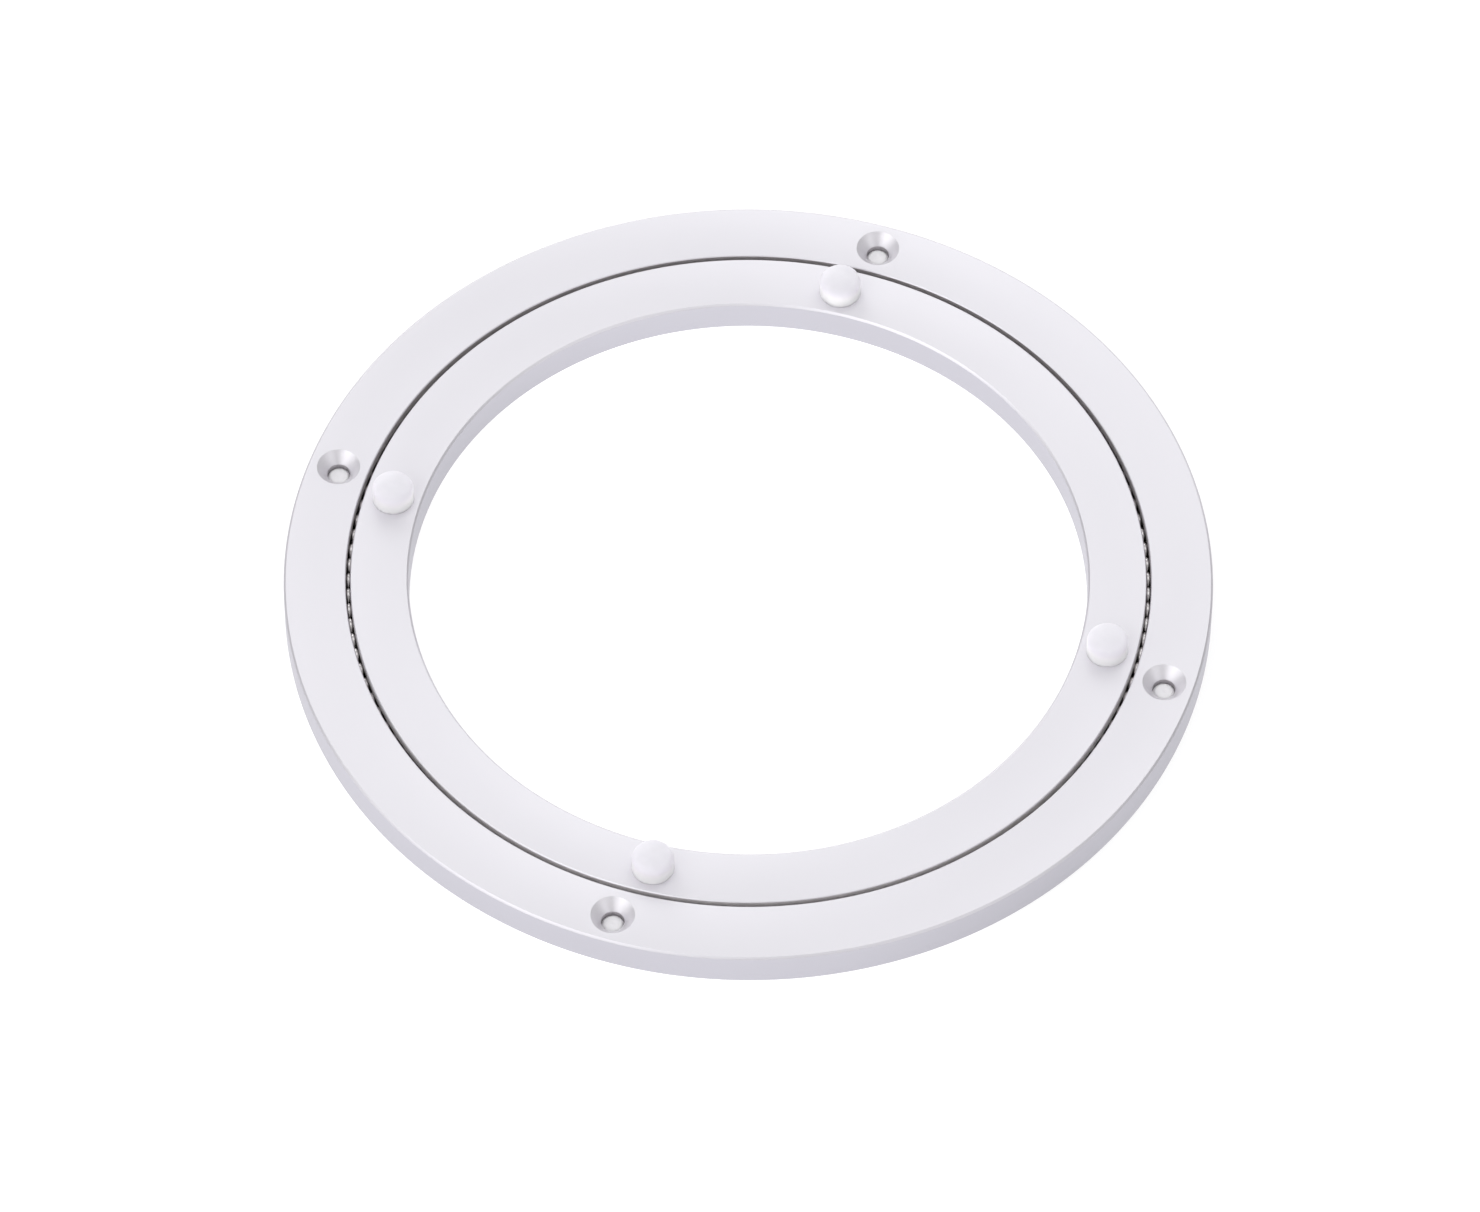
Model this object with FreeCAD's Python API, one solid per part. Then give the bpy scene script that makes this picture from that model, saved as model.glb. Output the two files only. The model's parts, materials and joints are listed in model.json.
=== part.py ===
import FreeCAD, Part
import math
import os

# Turntable bearing for a lazy susan: two flat aluminium rings, one inside the other, that turn
# on a full row of steel balls in grooves cut in their facing walls. The outer ring is screwed
# down through countersunk holes. The inner ring carries soft pads for the turntable.
# Millimetres. Origin at the centre of the outer ring's underside, +Z up along the axis.

# Rings, with their tops level; the inner ring's underside is clear of the base
ring_od = 200.0
outer_ring_width = 13.35
inner_ring_width = 12.6
ring_gap = 0.95
ring_thickness = 8.5
inner_ring_lift = 0.4
outer_edge_chamfer = 0.45
bore_edge_chamfer = 0.45
gap_edge_chamfer = 0.2

# Ball row
ball_dia = 3.969
race_clearance = 0.05
ball_play = 0.04

# Screw holes of both rings
screw_hole_count = 4
screw_hole_dia = 5.0
screw_head_dia = 9.3
countersink_angle = 82.0
inner_ring_turn = 3.1

# Pads on the inner ring
pad_dia = 8.9
pad_height = 5.3
pad_crown = 0.4
pad_edge_radius = 1.6
pad_foot_chamfer = 0.25
pad_stem_clearance = 0.05
pad_stem_lead = 0.6

# Screw that closes the hole through which the balls are filled in
plug_dia = 5.0
plug_recess = 1.6
plug_end_chamfer = 0.5
plug_socket_flats = 2.5
plug_socket_depth = 3.0
plug_clearance = 0.05

# Worked out from the sizes above
outer_radius = ring_od / 2
outer_gap_radius = outer_radius - outer_ring_width
inner_gap_radius = outer_gap_radius - ring_gap
bore_radius = inner_gap_radius - inner_ring_width
race_radius = (outer_gap_radius + inner_gap_radius) / 2
race_height = ring_thickness / 2
groove_radius = ball_dia / 2 + race_clearance
groove_half_mouth = math.sqrt(groove_radius ** 2 - (ring_gap / 2) ** 2)
ball_count = int(math.pi / math.asin((ball_dia + ball_play) / 2 / race_radius))
screw_circle_radius = (outer_radius + outer_gap_radius) / 2
pad_circle_radius = (inner_gap_radius + bore_radius) / 2
screw_hole_pitch = 360.0 / screw_hole_count
plug_angle = 1.5 * screw_hole_pitch
countersink_slope = math.tan(math.radians(countersink_angle / 2))
countersink_depth = (screw_head_dia - screw_hole_dia) / 2 / countersink_slope
pad_stem_length = ring_thickness - inner_ring_lift - countersink_depth

AXIS_START = FreeCAD.Vector(0, 0, 0)
UP = FreeCAD.Vector(0, 0, 1)


def revolved(edges):
    """Solid swept by a closed section in the XZ plane about the Z axis."""
    section = Part.Face(Part.Wire(edges))
    return section.revolve(AXIS_START, UP, 360)


def line(start, end):
    """Straight edge between two (radius, height) points."""
    return Part.makeLine((start[0], 0, start[1]), (end[0], 0, end[1]))


def arc(start, middle, end):
    """Round edge through three (radius, height) points."""
    points = [FreeCAD.Vector(p[0], 0, p[1]) for p in (start, middle, end)]
    return Part.Arc(*points).toShape()


def ring_section(free_radius, gap_radius, bottom, free_chamfer):
    """Edges of one ring's section: its free wall chamfered, its gap wall with half the ball race."""
    top = ring_thickness
    to_gap = math.copysign(1, gap_radius - free_radius)
    free_inset = free_radius + to_gap * free_chamfer
    gap_inset = gap_radius - to_gap * gap_edge_chamfer
    groove_bottom = (race_radius - to_gap * groove_radius, race_height)
    groove_low = (gap_radius, race_height - groove_half_mouth)
    groove_high = (gap_radius, race_height + groove_half_mouth)
    corners = [
        groove_high,
        (gap_radius, top - gap_edge_chamfer),
        (gap_inset, top),
        (free_inset, top),
        (free_radius, top - free_chamfer),
        (free_radius, bottom + free_chamfer),
        (free_inset, bottom),
        (gap_inset, bottom),
        (gap_radius, bottom + gap_edge_chamfer),
        groove_low,
    ]
    edges = [line(a, b) for a, b in zip(corners, corners[1:])]
    edges.append(arc(groove_low, groove_bottom, groove_high))
    return edges


def around(shape, count, first_angle):
    """Copies of a shape spaced evenly about the Z axis."""
    copies = []
    for index in range(count):
        copy = shape.copy()
        copy.rotate(AXIS_START, UP, first_angle + index * 360.0 / count)
        copies.append(copy)
    return copies


def screw_cutter(circle_radius, head_face, inward):
    """Through hole with a cone for a countersunk head, sunk from head_face along inward (+1 up, -1 down)."""
    overshoot = outer_edge_chamfer
    mouth_radius = screw_head_dia / 2 + overshoot * countersink_slope
    start = FreeCAD.Vector(circle_radius, 0, head_face - inward * overshoot)
    direction = FreeCAD.Vector(0, 0, inward)
    cone = Part.makeCone(mouth_radius, screw_hole_dia / 2, countersink_depth + overshoot, start, direction)
    shank = Part.makeCylinder(screw_hole_dia / 2, ring_thickness + 2 * overshoot, start, direction)
    return cone.fuse(shank)


def radial_cylinder(radius, start_radius, end_radius):
    """Cylinder at race height that points outwards along the filling hole's direction."""
    place = FreeCAD.Vector(start_radius, 0, race_height)
    cylinder = Part.makeCylinder(radius, end_radius - start_radius, place, FreeCAD.Vector(1, 0, 0))
    cylinder.rotate(AXIS_START, UP, plug_angle)
    return cylinder


def make_outer_ring():
    """Outer ring with its half of the race, the screw holes and the filling hole."""
    ring = revolved(ring_section(outer_radius, outer_gap_radius, 0, outer_edge_chamfer))
    screw_hole = screw_cutter(screw_circle_radius, ring_thickness, -1)
    filling_hole = radial_cylinder(plug_dia / 2 + plug_clearance, race_radius, outer_radius + plug_dia)
    return ring.cut(around(screw_hole, screw_hole_count, 0) + [filling_hole])


def make_inner_ring():
    """Inner ring with its half of the race and holes countersunk from below, which hold the pads."""
    ring = revolved(ring_section(bore_radius, inner_gap_radius, inner_ring_lift, bore_edge_chamfer))
    screw_hole = screw_cutter(pad_circle_radius, inner_ring_lift, 1)
    return ring.cut(around(screw_hole, screw_hole_count, inner_ring_turn))


def make_balls():
    """Full row of balls, side by side, in the race between the two rings."""
    ball = Part.makeSphere(ball_dia / 2)
    ball.translate(FreeCAD.Vector(race_radius, 0, race_height))
    return Part.makeCompound(around(ball, ball_count, 0))


def make_pad():
    """Round soft pad with a crowned top and a stem that plugs into the ring's hole."""
    radius = pad_dia / 2
    shoulder = pad_height - pad_crown
    stem_radius = screw_hole_dia / 2 - pad_stem_clearance
    tip_radius = stem_radius - pad_stem_lead / 2
    tip = -pad_stem_length
    # The crown's circle runs through the pad's top and meets the edge round where both have one tangent
    edge_centre = (radius - pad_edge_radius, shoulder - pad_edge_radius)
    rise = pad_height - edge_centre[1]
    crown_radius = (edge_centre[0] ** 2 + rise ** 2 - pad_edge_radius ** 2) / (2 * (rise - pad_edge_radius))
    crown_centre = pad_height - crown_radius
    lean = math.atan2(edge_centre[0], edge_centre[1] - crown_centre)
    meeting = (crown_radius * math.sin(lean), crown_centre + crown_radius * math.cos(lean))
    crown_middle = (crown_radius * math.sin(lean / 2), crown_centre + crown_radius * math.cos(lean / 2))
    bend = (lean + math.pi / 2) / 2
    edge_middle = (edge_centre[0] + pad_edge_radius * math.sin(bend),
                   edge_centre[1] + pad_edge_radius * math.cos(bend))
    edges = [
        arc((0, pad_height), crown_middle, meeting),
        arc(meeting, edge_middle, (radius, edge_centre[1])),
        line((radius, edge_centre[1]), (radius, pad_foot_chamfer)),
        line((radius, pad_foot_chamfer), (radius - pad_foot_chamfer, 0)),
        line((radius - pad_foot_chamfer, 0), (stem_radius, 0)),
        line((stem_radius, 0), (stem_radius, tip + pad_stem_lead)),
        line((stem_radius, tip + pad_stem_lead), (tip_radius, tip)),
        line((tip_radius, tip), (0, tip)),
        line((0, tip), (0, pad_height)),
    ]
    pad = revolved(edges)
    pad.translate(FreeCAD.Vector(pad_circle_radius, 0, ring_thickness))
    return pad


def make_loading_plug():
    """Grub screw with a hexagon socket that closes the filling hole short of the balls."""
    inner_end = race_radius + groove_radius
    outer_end = outer_radius - plug_recess
    plug = Part.makeCylinder(plug_dia / 2, outer_end - inner_end)
    rims = [edge for edge in plug.Edges if edge.Length > plug_dia and isinstance(edge.Curve, Part.Circle)]
    plug = plug.makeChamfer(plug_end_chamfer, rims)
    corner_radius = plug_socket_flats / math.sqrt(3)
    corners = []
    for index in range(7):
        angle = math.radians(60 * index)
        corners.append(FreeCAD.Vector(corner_radius * math.cos(angle), corner_radius * math.sin(angle), 0))
    socket = Part.Face(Part.makePolygon(corners)).extrude(FreeCAD.Vector(0, 0, plug_socket_depth))
    socket.translate(FreeCAD.Vector(0, 0, outer_end - inner_end - plug_socket_depth))
    plug = plug.cut(socket)
    plug.rotate(AXIS_START, FreeCAD.Vector(0, 1, 0), 90)
    plug.translate(FreeCAD.Vector(inner_end, 0, race_height))
    plug.rotate(AXIS_START, UP, plug_angle)
    return plug


def main():
    """Build every piece and write it under its own name."""
    os.makedirs("parts", exist_ok=True)
    pieces = {
        "outer_ring": make_outer_ring(),
        "inner_ring": make_inner_ring(),
        "bearing_balls": make_balls(),
        "loading_plug": make_loading_plug(),
    }
    for index, pad in enumerate(around(make_pad(), screw_hole_count, inner_ring_turn)):
        pieces[f"pad_{index + 1}"] = pad
    for name, shape in pieces.items():
        shape.exportStep(f"parts/{name}.step")
    print("balls", ball_count, "race", 2 * race_radius, "bore", 2 * bore_radius)
    print("screw circle", 2 * screw_circle_radius, "pad circle", 2 * pad_circle_radius)


main()
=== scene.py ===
"""Looks of a flat turntable bearing: two matte aluminium rings that turn on a row of steel balls.

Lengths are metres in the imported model's frame, with the origin at the centre of the outer ring's
underside and +Z up along the turning axis.
"""

import json
import logging
import math
from dataclasses import dataclass, field, replace
from enum import Enum
from functools import lru_cache
from typing import Any, Dict, List, Optional, Sequence, Tuple, Union

import bmesh
import bpy
from mathutils import Matrix, Vector

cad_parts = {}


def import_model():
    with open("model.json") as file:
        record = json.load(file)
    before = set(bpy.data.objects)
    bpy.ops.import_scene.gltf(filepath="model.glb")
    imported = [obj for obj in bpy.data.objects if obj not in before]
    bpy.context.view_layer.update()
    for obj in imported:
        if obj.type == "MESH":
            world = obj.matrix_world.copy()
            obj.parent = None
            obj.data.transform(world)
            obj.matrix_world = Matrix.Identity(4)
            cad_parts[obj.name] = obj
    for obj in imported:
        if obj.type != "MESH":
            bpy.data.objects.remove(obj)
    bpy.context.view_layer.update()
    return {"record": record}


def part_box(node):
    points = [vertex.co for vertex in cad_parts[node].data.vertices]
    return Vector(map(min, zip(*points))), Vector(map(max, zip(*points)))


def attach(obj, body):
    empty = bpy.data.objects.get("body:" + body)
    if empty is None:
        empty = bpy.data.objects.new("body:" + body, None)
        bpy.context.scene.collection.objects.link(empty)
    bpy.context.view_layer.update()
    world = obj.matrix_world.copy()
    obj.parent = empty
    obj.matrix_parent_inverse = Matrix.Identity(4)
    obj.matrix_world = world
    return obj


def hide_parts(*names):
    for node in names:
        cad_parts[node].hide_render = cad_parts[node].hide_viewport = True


LOG = logging.getLogger("turntable_bearing")
MM = 0.001
PHOTO_WIDTH_PX = 1480
SENSOR_WIDTH_MM = 36.0

# How finely round things are divided
ROUNDING_STEPS = 3
GROOVE_STEPS = 28
HOLE_SEGMENTS = 96
SMALL_SEGMENTS = 64
HEXAGON_SEGMENTS = 6

# Angles in degrees above which an edge shows
RING_CREASE = 20.0
SCREW_CREASE = 25.0
SOFT_CREASE = 40.0

# A face is upright up to the first of these normals' heights, and level from the second
UPRIGHT_NORMAL = 0.2
LEVEL_NORMAL = 0.98
ON_AXIS = 1e-9

Colour = Tuple[float, float, float]
SectionPoint = Tuple[float, float]
Number = Union["Term", float]
Thing = bpy.types.Object
Material = bpy.types.Material
Socket = bpy.types.NodeSocket


# Shader and node writing


class Term:
    """A number in a node tree, on which Python arithmetic adds Math nodes."""

    def __init__(self, graph: "Graph", socket: Socket) -> None:
        """Wrap a socket.

        Args:
            graph: The node tree that the socket belongs to.
            socket: The output that carries the number.
        """
        self.graph = graph
        self.socket = socket

    def math(self, operation: str, *others: Number) -> "Term":
        """Add one Math node with this number as its first input.

        Args:
            operation: The Math node's operation.
            others: Its further inputs.

        Returns:
            The node's result.
        """
        return self.graph.math(operation, self, *others)

    def __add__(self, other: Number) -> "Term":
        """Sum."""
        return self.math("ADD", other)

    def __sub__(self, other: Number) -> "Term":
        """Difference."""
        return self.math("SUBTRACT", other)

    def __mul__(self, other: Number) -> "Term":
        """Product."""
        return self.math("MULTIPLY", other)

    def __truediv__(self, other: Number) -> "Term":
        """Quotient."""
        return self.math("DIVIDE", other)


class Graph:
    """A node tree in the making."""

    def __init__(self, tree: bpy.types.NodeTree) -> None:
        """Start writing in a tree.

        Args:
            tree: The node tree to fill.
        """
        self.tree = tree

    def node(self, kind: str, inputs: Optional[Dict[Union[str, int], Any]] = None,
             **settings: Any) -> bpy.types.Node:
        """Add a node.

        Args:
            kind: The node's type name.
            inputs: Values or links for its sockets, by name or number.
            settings: Properties, which are set before the sockets.

        Returns:
            The new node.
        """
        node = self.tree.nodes.new(kind)
        for name, value in settings.items():
            setattr(node, name, value)
        for key, value in (inputs or {}).items():
            self.feed(node.inputs[key], value)
        return node

    def feed(self, socket: Socket, value: Any) -> None:
        """Link or set one socket.

        Args:
            socket: The input to feed.
            value: A term or socket to link, or a plain value.
        """
        if isinstance(value, Term):
            value = value.socket
        if isinstance(value, Socket):
            self.tree.links.new(value, socket)
        else:
            socket.default_value = value

    def term(self, node: bpy.types.Node, output: str) -> Term:
        """A node's named output as a number."""
        return Term(self, node.outputs[output])

    def math(self, operation: str, *values: Number) -> Term:
        """Add a Math node.

        Args:
            operation: Its operation.
            values: Its inputs in order.

        Returns:
            Its result.
        """
        return self.term(self.node("ShaderNodeMath", dict(enumerate(values)), operation=operation), "Value")

    def axis(self, vector: Socket, letter: str) -> Term:
        """One coordinate of a vector."""
        return self.term(self.node("ShaderNodeSeparateXYZ", {"Vector": vector}), letter)

    def dot(self, one: Any, other: Any) -> Term:
        """Dot product of two vectors."""
        node = self.node("ShaderNodeVectorMath", {0: one, 1: other}, operation="DOT_PRODUCT")
        return self.term(node, "Value")

    def noise(self, place: Socket, size: float, detail: float) -> Term:
        """Add a noise.

        Args:
            place: Coordinates in metres.
            size: Size of its largest cells, in metres.
            detail: Octaves.

        Returns:
            The noise, near 0 to 1.
        """
        node = self.node("ShaderNodeTexNoise", {"Vector": place, "Scale": 1 / size, "Detail": detail})
        return self.term(node, "Fac")

    def smooth_step(self, value: Any, start: float, end: float, low: float = 0.0,
                    high: float = 1.0) -> Term:
        """Let a result rise smoothly with a number.

        Args:
            value: The number.
            start: Where the rise starts.
            end: Where it ends.
            low: The result before it.
            high: The result after it.

        Returns:
            The result.
        """
        reach = {"Value": value, "From Min": start, "From Max": end, "To Min": low, "To Max": high}
        return self.term(self.node("ShaderNodeMapRange", reach, interpolation_type="SMOOTHSTEP"), "Result")

    def blend(self, factor: Number, low: Any, high: Any) -> Socket:
        """Mix two colours.

        Args:
            factor: 0 for the first colour, 1 for the second.
            low: First colour, as three numbers or a socket.
            high: Second colour, as three numbers or a socket.

        Returns:
            The mixed colour.
        """
        pair = [(*c, 1.0) if isinstance(c, tuple) else c for c in (low, high)]
        inputs = {"Factor": factor, 6: pair[0], 7: pair[1]}
        return self.node("ShaderNodeMix", inputs, data_type="RGBA").outputs[2]


# Finishes


@dataclass(frozen=True)
class Finish:
    """Shared values of a finish.

    Attributes:
        name: Name of the material.
        colour: Main colour.
        shade: Second colour, for the faint clouding.
        roughness: Mean roughness.
        grain: Size of the finest grain.
        relief: Height of the grain.
    """

    name: str
    colour: Colour
    shade: Colour
    roughness: float = 0.45
    grain: float = 0.12 * MM
    relief: float = 0.003 * MM

    def build(self) -> Material:
        """Make the material.

        Returns:
            The finished material.
        """
        material = bpy.data.materials.new(self.name)
        material.use_nodes = True
        material.node_tree.nodes.clear()
        graph = Graph(material.node_tree)
        shader = graph.node("ShaderNodeBsdfPrincipled")
        graph.node("ShaderNodeOutputMaterial", {"Surface": shader.outputs["BSDF"]})
        place = graph.node("ShaderNodeTexCoord").outputs["Object"]
        for name, value in self.inputs(graph, place).items():
            graph.feed(shader.inputs[name], value)
        return material

    def inputs(self, graph: Graph, place: Socket) -> Dict[str, Any]:
        """What the shader is fed.

        Args:
            graph: The material's tree.
            place: Object coordinates, in metres.

        Returns:
            Links and plain values, by socket.
        """
        raise NotImplementedError

    def bump(self, graph: Graph, height: Number) -> Socket:
        """Turn a height from 0 to 1 into a bump as deep as the relief."""
        node = graph.node("ShaderNodeBump", {"Height": height, "Distance": self.relief, "Strength": 1.0})
        return node.outputs["Normal"]


@dataclass(frozen=True)
class MatteAluminium(Finish):
    """Turned, finely blasted and clear anodised aluminium.

    Attributes:
        metal: Share of the light that the metal reflects, while the anodised layer scatters the rest.
        cloud: Size of the faint clouding.
        mark_pitch: Spacing of the turning marks that the blasting leaves.
        grain_gloss: How much the grain varies the roughness.
        mark_gloss: How much the marks vary it.
        mark_relief: The marks' share of the relief.
        turned: How much the gloss stretches across the marks.
    """

    grain: float = 0.16 * MM
    relief: float = 0.004 * MM
    metal: float = 1.0
    cloud: float = 30 * MM
    mark_pitch: float = 0.35 * MM
    grain_gloss: float = 0.06
    mark_gloss: float = 0.04
    mark_relief: float = 0.3
    turned: float = 0.5

    def inputs(self, graph: Graph, place: Socket) -> Dict[str, Any]:
        """What the shader is fed.

        Args:
            graph: The material's tree.
            place: Object coordinates, in metres.

        Returns:
            Links and plain values, by socket.
        """
        x, y = (graph.axis(place, letter) for letter in "XY")
        radius = (x * x + y * y).math("SQRT")
        marks = graph.term(graph.node("ShaderNodeTexNoise", {"W": radius / self.mark_pitch, "Scale": 1.0,
                                                             "Detail": 1.0}, noise_dimensions="1D"), "Fac")
        grain = graph.noise(place, self.grain, 1.0)
        smoothest = self.roughness - (self.grain_gloss + self.mark_gloss) / 2
        return {"Base Color": graph.blend(graph.noise(place, self.cloud, 2.0), self.colour, self.shade),
                "Roughness": grain * self.grain_gloss + marks * self.mark_gloss + smoothest,
                "Normal": self.bump(graph, grain * (1 - self.mark_relief) + marks * self.mark_relief),
                "Metallic": self.metal,
                "Anisotropic": self.turned}


@dataclass(frozen=True)
class BareMetal(Finish):
    """Metal that is cut, polished or plated, with a grain and perhaps a thin uneven film.

    Attributes:
        metal: Share of the light that is mirrored as by metal; the rest is scattered.
        grain_detail: Octaves of the grain.
        film: Size of the film's patches, or 0 for no film.
        film_detail: Octaves of the film.
        gloss: How much the film, or else the grain, varies the roughness.
    """

    metal: float = 1.0
    grain_detail: float = 2.0
    film: float = 0.0
    film_detail: float = 3.0
    gloss: float = 0.08

    def inputs(self, graph: Graph, place: Socket) -> Dict[str, Any]:
        """What the shader is fed.

        Args:
            graph: The material's tree.
            place: Object coordinates, in metres.

        Returns:
            Links and plain values, by socket.
        """
        grain = graph.noise(place, self.grain, self.grain_detail)
        film = graph.noise(place, self.film, self.film_detail) if self.film else grain
        return {"Base Color": graph.blend(film, self.colour, self.shade),
                "Roughness": film * self.gloss + (self.roughness - self.gloss / 2),
                "Normal": self.bump(graph, grain),
                "Metallic": self.metal}


@dataclass(frozen=True)
class SoftSilicone(Finish):
    """Milky moulded silicone, coloured lighter low down as painted light.

    Attributes:
        low: Colour of what lies low, lighter than the top as painted light on the pads; the stoppers lie
            wholly below low_height and take it as their whole colour.
        low_height: Where the change of colour starts.
        high_height: Where it ends.
        scatter: Distance that light travels in it.
        mottle: Size of its cloudy patches.
        mottle_gloss: How much they vary the roughness.
        mottle_relief: Their share of the relief.
        refraction: Its refractive index.
    """

    roughness: float = 0.42
    grain: float = 0.25 * MM
    relief: float = 0.02 * MM
    low: Colour = (0.95, 0.91, 0.99)
    low_height: float = 10.8 * MM
    high_height: float = 13.8 * MM
    scatter: float = 1.0 * MM
    mottle: float = 2.2 * MM
    mottle_gloss: float = 0.1
    mottle_relief: float = 0.8
    refraction: float = 1.41

    def inputs(self, graph: Graph, place: Socket) -> Dict[str, Any]:
        """What the shader is fed.

        Args:
            graph: The material's tree.
            place: Object coordinates, in metres.

        Returns:
            Links and plain values, by socket.
        """
        mottle = graph.noise(place, self.mottle, 2.0)
        grain = graph.noise(place, self.grain, 1.0)
        # Painted light: the colour turns lighter towards the foot.
        rise = graph.smooth_step(graph.axis(place, "Z"), self.low_height, self.high_height)
        height = mottle * self.mottle_relief + grain * (1 - self.mottle_relief)
        return {"Base Color": graph.blend(rise, self.low, graph.blend(mottle, self.colour, self.shade)),
                "Roughness": mottle * self.mottle_gloss + (self.roughness - self.mottle_gloss / 2),
                "Normal": self.bump(graph, height),
                "Subsurface Weight": 1.0,
                "Subsurface Radius": (1.0, 1.0, 1.0),
                "Subsurface Scale": self.scatter,
                "IOR": self.refraction}


@lru_cache(maxsize=None)
def material_of(finish: Finish) -> Material:
    """A finish's material, built once."""
    return finish.build()


# Shapes


@dataclass(frozen=True)
class Corner:
    """One corner of a section, in metres.

    Attributes:
        radius: Distance from the axis.
        height: Height.
        rounding: Radius of the rounded corner, or 0 for a sharp one.
    """

    radius: float
    height: float
    rounding: float = 0.0


class Facing(Enum):
    """Which way a countersink opens."""

    UP = 1
    DOWN = -1


class Surface(Enum):
    """How a face was made, as its material number."""

    MAIN = 0
    DRILLED = 1
    TRACK = 2
    WALL = 3
    GAP = 4
    SHANK = 5
    EDGE = 6


def rounded_section(corners: Sequence[Corner]) -> List[SectionPoint]:
    """Round a closed section's corners.

    Args:
        corners: The section's corners in order.

    Returns:
        The section's points in the same order.
    """
    points: List[SectionPoint] = []
    count = len(corners)
    for index, corner in enumerate(corners):
        here = Vector((corner.radius, corner.height))
        if not corner.rounding:
            points.append((here.x, here.y))
            continue
        back = corners[index - 1]
        ahead = corners[(index + 1) % count]
        to_back = (Vector((back.radius, back.height)) - here).normalized()
        to_ahead = (Vector((ahead.radius, ahead.height)) - here).normalized()
        half_angle = to_back.angle(to_ahead) / 2
        centre = here + (to_back + to_ahead).normalized() * (corner.rounding / math.sin(half_angle))
        start = here + to_back * (corner.rounding / math.tan(half_angle)) - centre
        end = here + to_ahead * (corner.rounding / math.tan(half_angle)) - centre
        for step in range(ROUNDING_STEPS + 1):
            spoke = start.slerp(end, step / ROUNDING_STEPS)
            point = centre + spoke.normalized() * corner.rounding
            points.append((point.x, point.y))
    return points


def arc_points(centre: SectionPoint, radius: float, start: float, end: float,
               steps: int) -> List[SectionPoint]:
    """Points on a round stretch of a section, ends included.

    Args:
        centre: The arc's centre.
        radius: Its radius.
        start: Its first angle in radians, from outwards to up.
        end: Its last angle.
        steps: The number of straight steps.

    Returns:
        The points.
    """
    angles = [start + (end - start) * step / steps for step in range(steps + 1)]
    return [(centre[0] + radius * math.cos(a), centre[1] + radius * math.sin(a)) for a in angles]


def put(name: str, data: Any) -> Thing:
    """Add an object with that data to the scene."""
    thing = bpy.data.objects.new(name, data)
    bpy.context.scene.collection.objects.link(thing)
    return thing


def put_shape(name: str, shape: bmesh.types.BMesh) -> Thing:
    """Add an object with the form of an edit mesh, which is freed."""
    mesh = bpy.data.meshes.new(name)
    shape.to_mesh(mesh)
    shape.free()
    return put(name, mesh)


def lathe(name: str, section: Sequence[SectionPoint], segments: int, closed: bool = False,
          surface: Surface = Surface.MAIN) -> Thing:
    """Turn a section about the Z axis.

    Args:
        name: Name of the new object.
        section: Points as radius and height.
        segments: Steps round the axis.
        closed: Whether the last point joins the first; otherwise both lie on the axis.
        surface: What its faces are.

    Returns:
        The turned object, at the origin.
    """
    shape = bmesh.new()
    loops = []
    for radius, height in section:
        if radius < ON_AXIS:
            loops.append([shape.verts.new((0.0, 0.0, height))] * segments)
            continue
        turns = [2 * math.pi * k / segments for k in range(segments)]
        loops.append([shape.verts.new((radius * math.cos(t), radius * math.sin(t), height)) for t in turns])
    pairs = list(zip(loops, loops[1:]))
    if closed:
        pairs.append((loops[-1], loops[0]))
    for low, high in pairs:
        for k in range(segments):
            after = (k + 1) % segments
            ring = [low[k], low[after], high[after], high[k]]
            face = shape.faces.new(list(dict.fromkeys(ring)))
            face.material_index = surface.value
    bmesh.ops.recalc_face_normals(shape, faces=shape.faces)
    return put_shape(name, shape)


def joined(name: str, things: Sequence[Thing]) -> Thing:
    """Join several mesh objects that lie at the origin into one and remove them.

    Args:
        name: Name of the result.
        things: The objects to join.

    Returns:
        The joined object.
    """
    shape = bmesh.new()
    for thing in things:
        shape.from_mesh(thing.data)
        bpy.data.objects.remove(thing)
    return put_shape(name, shape)


def carved(blank: Thing, cutter: Thing) -> Thing:
    """Cut one object out of another and remove the cutter.

    Args:
        blank: The object to cut.
        cutter: What is taken away.

    Returns:
        The blank, with its mesh cut.
    """
    modifier = blank.modifiers.new("cut", "BOOLEAN")
    modifier.operation = "DIFFERENCE"
    modifier.solver = "EXACT"
    modifier.object = cutter
    blank.data = settled_mesh(blank)
    blank.modifiers.clear()
    bpy.data.objects.remove(cutter)
    return blank


def upright(face: bpy.types.MeshPolygon) -> bool:
    """Whether a face stands upright."""
    return abs(face.normal.z) < UPRIGHT_NORMAL


def settled_mesh(thing: Thing) -> bpy.types.Mesh:
    """The object's mesh with its modifiers applied."""
    bpy.context.view_layer.update()
    graph = bpy.context.evaluated_depsgraph_get()
    return bpy.data.meshes.new_from_object(thing.evaluated_get(graph), depsgraph=graph)


def dress(thing: Thing, finishes: Sequence[Finish], crease: float) -> None:
    """Give an object its finishes and its smooth shading.

    Args:
        thing: The object.
        finishes: Its finishes, in the order of its faces' material numbers.
        crease: Angle in degrees above which an edge shows.
    """
    numbers = [face.material_index for face in thing.data.polygons]
    thing.data.materials.clear()
    for finish in finishes:
        thing.data.materials.append(material_of(finish))
    thing.data.polygons.foreach_set("material_index", numbers)
    thing.data.shade_smooth()
    thing.data.set_sharp_from_angle(angle=math.radians(crease))


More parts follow.
